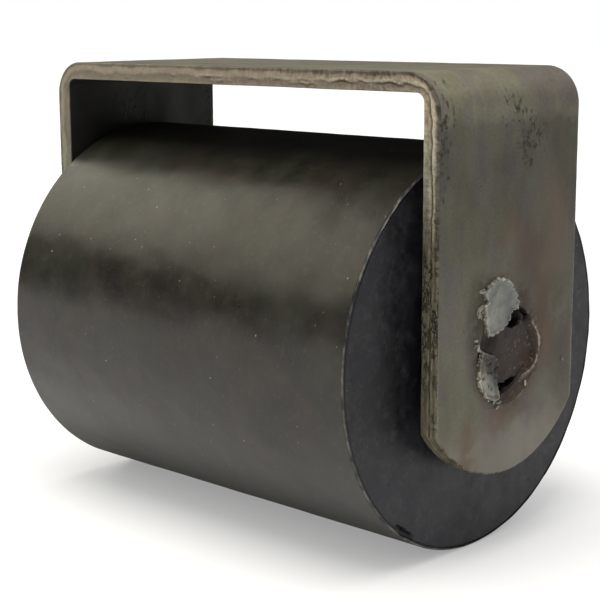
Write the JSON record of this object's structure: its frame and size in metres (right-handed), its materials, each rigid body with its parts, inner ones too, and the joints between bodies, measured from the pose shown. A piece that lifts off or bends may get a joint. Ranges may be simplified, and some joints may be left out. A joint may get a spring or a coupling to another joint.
{
  "type": "rubber guide roller",
  "caption": "Rubber-covered roller on sealed ball bearings and a fixed axle, held in a U bracket bent from flat steel bar whose web is welded on; guides a belt, strip or load.",
  "frame": {"origin": "centre of the bracket's top face, the face that is welded on", "axes": "+Z out of that face, +Y along the roller's axle, +X across the bracket's strip"},
  "size_m": [0.108, 0.1504, 0.1275],
  "materials": {
    "bracket_steel": "raw hot-rolled bar with mill scale and thermally cut edges",
    "axle_steel": "sawn end with light rust",
    "weld_metal": "as welded, with grey slag",
    "roller_rubber": "turned black rubber, matt and dusty",
    "tube_steel": "turned",
    "sleeve_steel": "turned",
    "bearing_steel": "ground",
    "ball_steel": "polished",
    "cage_plastic": "moulded",
    "seal_rubber": "moulded",
    "spring_steel": "blackened"
  },
  "bodies": {
    "bracket": {"mounting_bracket": "bracket_steel", "axle_pin": "axle_steel", "near_upper_tack_weld": "weld_metal", "near_lower_tack_weld": "weld_metal", "far_upper_tack_weld": "weld_metal", "far_lower_tack_weld": "weld_metal", "near_spacer_sleeve": "sleeve_steel", "far_spacer_sleeve": "sleeve_steel"},
    "inner_races": {"near_bearing_inner_ring": "bearing_steel", "far_bearing_inner_ring": "bearing_steel", "bearing_distance_sleeve": "sleeve_steel"},
    "ball_rows": {"near_bearing_balls": "ball_steel", "near_bearing_cage": "cage_plastic", "far_bearing_balls": "ball_steel", "far_bearing_cage": "cage_plastic"},
    "roller": {"rubber_roller": "roller_rubber", "core_tube": "tube_steel", "near_bearing_outer_ring": "bearing_steel", "far_bearing_outer_ring": "bearing_steel", "near_bearing_outer_seal": "seal_rubber", "near_bearing_inner_seal": "seal_rubber", "far_bearing_outer_seal": "seal_rubber", "far_bearing_inner_seal": "seal_rubber", "near_retaining_ring": "spring_steel", "far_retaining_ring": "spring_steel"}
  },
  "joints": [
    {"name": "end_float", "type": "slide", "parent": "bracket", "child": "inner_races", "axis": [0, 1, 0], "range_m": [-0.0023, 0]},
    {"name": "roller_spin", "type": "hinge", "parent": "inner_races", "child": "roller", "pos_m": [0, 0, -0.0735], "axis": [0, 1, 0], "continuous": true},
    {"name": "ball_orbit", "type": "hinge", "parent": "inner_races", "child": "ball_rows", "pos_m": [0, 0, -0.0735], "axis": [0, 1, 0], "continuous": true}
  ],
  "couplings": [
    {"joint": "ball_orbit", "follows": "roller_spin", "ratio": 0.58813}
  ]
}
